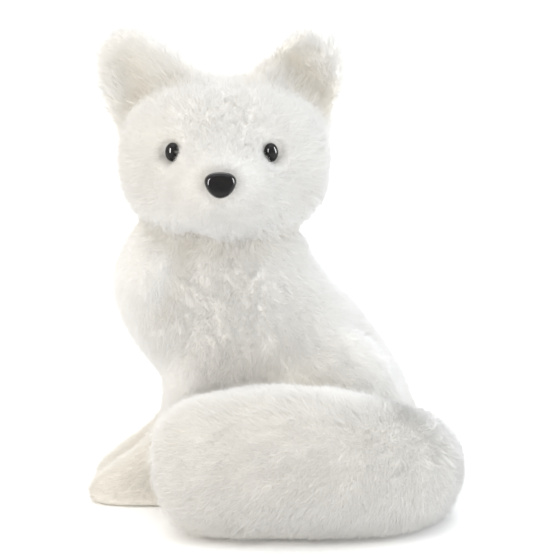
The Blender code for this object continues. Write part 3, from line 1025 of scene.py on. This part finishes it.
def build_eye(name, finish):
    """A tall oval dome on a thin moulded rim, with a shank behind it."""
    points = cad_points(name) - centre_of(name)
    axis = thin_axis(name)
    depth = np.abs(points @ axis).max()
    radius = np.linalg.norm(points - np.outer(points @ axis, axis), axis=1).max()
    dome = [
        (radius * math.cos(math.radians(a)) ** 0.9, depth * math.sin(math.radians(a)) ** 1.06)
        for a in range(4, 90, 4)
    ]
    back = [(0, -0.95 * depth), (0.28 * radius, -0.95 * depth), (0.3 * radius, -0.5 * depth)]
    rim = [(0.86 * radius, -0.36 * depth), (0.97 * radius, -0.26 * depth), (radius, -0.1 * depth)]
    mesh = turned_profile([*back, *rim, *dome, (0, depth)], 72)
    for vert in mesh.verts:
        vert.co.x *= EYE_OVAL[0]
        vert.co.y *= EYE_OVAL[1]
    feature(name, mesh, facing(name), finish)


def build_nose(finish):
    """A rounded triangle: a soft bevel round its edge and a flatter front inside it."""
    low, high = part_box("nose")
    width, depth, height = high - low
    mesh = bmesh.new()
    bmesh.ops.create_uvsphere(mesh, u_segments=72, v_segments=64, radius=1.0)
    bmesh.ops.rotate(mesh, verts=mesh.verts, matrix=Matrix.Rotation(math.radians(90), 3, "X"))
    for vert in mesh.verts:
        x, y, z = vert.co
        out = min(1.0, math.hypot(x, z))
        if y < 0:
            edge = max(0.0, (out - NOSE_FACET) / (1 - NOSE_FACET))
            y = -0.84 * math.sqrt(max(0.0, 1 - edge ** 2)) - 0.05 * (1 - min(1.0, out / NOSE_FACET) ** 2)
            y += 0.16 * z * (1 - edge)
        taper = 0.955 + 0.26 * z + 0.1 * z * z
        vert.co = Vector((0.972 * x * taper * width / 2, y * depth / 2, 0.915 * z * height / 2))
    feature("nose", mesh, Matrix.Translation(Vector(NOSE)), finish)


# ---- The stage

def build_floor():
    mesh = bmesh.new()
    bmesh.ops.create_circle(mesh, cap_ends=True, radius=6.0, segments=96)
    data = bpy.data.meshes.new("floor")
    mesh.to_mesh(data)
    mesh.free()
    paper = Finish("floor_paper", Specular_IOR_Level=0.0)
    paper.feed("Base Color", paper.mix(paper.noise(0.4), rgb(0.955, 0.955, 0.955), rgb(0.97, 0.97, 0.97)))
    paper.feed("Roughness", 0.85 + 0.05 * paper.noise(0.02))
    data.materials.append(paper.material)
    piece_of(data)


# A rectangular light that faces the toy: its direction from the toy, to the camera's right and up (degrees),
# its distance, width and height (m), power (W) and colour, and whether it shows in glossy surfaces
Lamp = namedtuple("Lamp", "right up distance width height power colour shows")
LAMPS = {
    "light_left": Lamp(-62, 22, 1.6, 0.5, 0.8, 4.7, (1.0, 0.9, 0.77), True),
    "light_right": Lamp(66, 26, 1.6, 0.5, 0.8, 5.0, (0.92, 0.965, 1.0), True),
    "light_top": Lamp(0, 80, 1.5, 1.2, 1.2, 6.0, (0.94, 0.97, 1.0), True),
    "light_behind": Lamp(180, 40, 1.6, 1.6, 0.8, 8.0, (0.97, 0.985, 1.0), True),
    "light_front": Lamp(0, 16, 1.9, 1.0, 0.8, 5.6, (1.0, 0.98, 0.945), False),
    "light_above": Lamp(-20, 52, 1.7, 1.0, 0.6, 2.8, (1.0, 0.98, 0.945), False),
}
# Two that only shine on the polished plastic, for its small bright highlights
GLINTS = {
    "glint_left": Lamp(-44, 16, 1.6, 0.45, 1.4, 110.0, (1, 1, 1), True),
    "glint_right": Lamp(84, 22, 1.6, 0.35, 1.4, 90.0, (1, 1, 1), True),
}


def build_lamp(name, lamp):
    data = bpy.data.lights.new(name, "AREA")
    data.shape = "RECTANGLE"
    data.size, data.size_y = lamp.width, lamp.height
    data.energy = lamp.power
    data.color = lamp.colour
    piece = bpy.data.objects.new(name, data)
    right, up = math.radians(lamp.right), math.radians(lamp.up)
    heading = Vector((math.sin(right) * math.cos(up), -math.cos(right) * math.cos(up), math.sin(up)))
    piece.location = heading * lamp.distance
    target = Vector((0, 0, 0.11))
    piece.rotation_euler = (target - piece.location).to_track_quat("-Z", "Y").to_euler()
    piece.visible_glossy = lamp.shows
    bpy.context.scene.collection.objects.link(piece)
    return piece


def build_light():
    for name, lamp in LAMPS.items():
        build_lamp(name, lamp)
    polished = bpy.data.collections.new("polished")
    for name in (*EYES, "nose"):
        polished.objects.link(bpy.data.objects[f"{name}_moulded"])
    for name, lamp in GLINTS.items():
        glint = build_lamp(name, lamp)
        glint.visible_diffuse = False
        glint.light_linking.receiver_collection = polished


def build_surroundings():
    """An even white studio, dimmer behind the camera, warmer on one side and cooler on the other."""
    world = bpy.data.worlds.new("studio")
    bpy.context.scene.world = world
    studio = Nodes(world, "Background")
    direction = studio.node("ShaderNodeTexCoord", {}, {}, "Generated")
    seen = studio.node("ShaderNodeLightPath", {}, {}, "Is Camera Ray")
    before = studio.towards((0, -0.96, -0.28), direction)
    fall = {"Value": before, "From Min": -0.3, "From Max": 0.9, "To Min": 1.17, "To Max": 0.72}
    dim = studio.node("ShaderNodeMapRange", {"interpolation_type": "SMOOTHSTEP"}, fall, "Result")
    sides = studio.towards((0.42, 0, 0.3), direction)
    turn = {"Value": sides, "From Min": -0.4, "From Max": 0.4}
    cool = studio.node("ShaderNodeMapRange", {}, turn, "Result")
    tint = studio.mix(cool, rgb(1.0, 0.955, 0.885), rgb(0.965, 0.985, 1.0))
    studio.feed("Color", studio.mix(seen, tint, WHITE))
    studio.feed("Strength", studio.node("ShaderNodeMath", {"operation": "MAXIMUM"}, {0: dim, 1: seen}))


def build_camera():
    data = bpy.data.cameras.new("camera")
    data.lens = 197.7
    data.sensor_width = 36
    camera = bpy.data.objects.new("camera", data)
    bpy.context.scene.collection.objects.link(camera)
    target = Vector((0.00044, 0.03975, 0.105))
    elevation = math.radians(11.5)
    away = Vector((0, -math.cos(elevation), math.sin(elevation)))
    camera.location = target + 1.5 * away
    camera.rotation_euler = (-away).to_track_quat("-Z", "Y").to_euler()
    bpy.context.scene.camera = camera


# ---- Everything

build_camera()
build_floor()
skin_points, skin_triangles = stuffed_skin()
pile = pile_over(skin_points, skin_triangles)
skin_mesh = mesh_of("skin", skin_points, skin_triangles)
skin_mesh.shade_smooth()
skin_mesh.materials.append(backing_cloth())
# The backing keeps the same warm painted shade and painted shade round the nose and eyes
for label in ("warm_shade", "halo_shade"):
    paint(skin_mesh, label, pile[label])
skin = piece_of(skin_mesh)
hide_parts(*PARTS)
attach(skin, "root")
build_coat(skin_points, skin_triangles, pile, white_pile())
eye_plastic = black_plastic("eye_plastic", 0.03)
for eye in EYES:
    build_eye(eye, eye_plastic)
build_nose(black_plastic("nose_plastic", 0.05))
build_light()
build_surroundings()

bpy.context.scene.view_settings.view_transform = "Standard"
bpy.context.scene.cycles.max_bounces = 12
bpy.context.scene.cycles.diffuse_bounces = 8
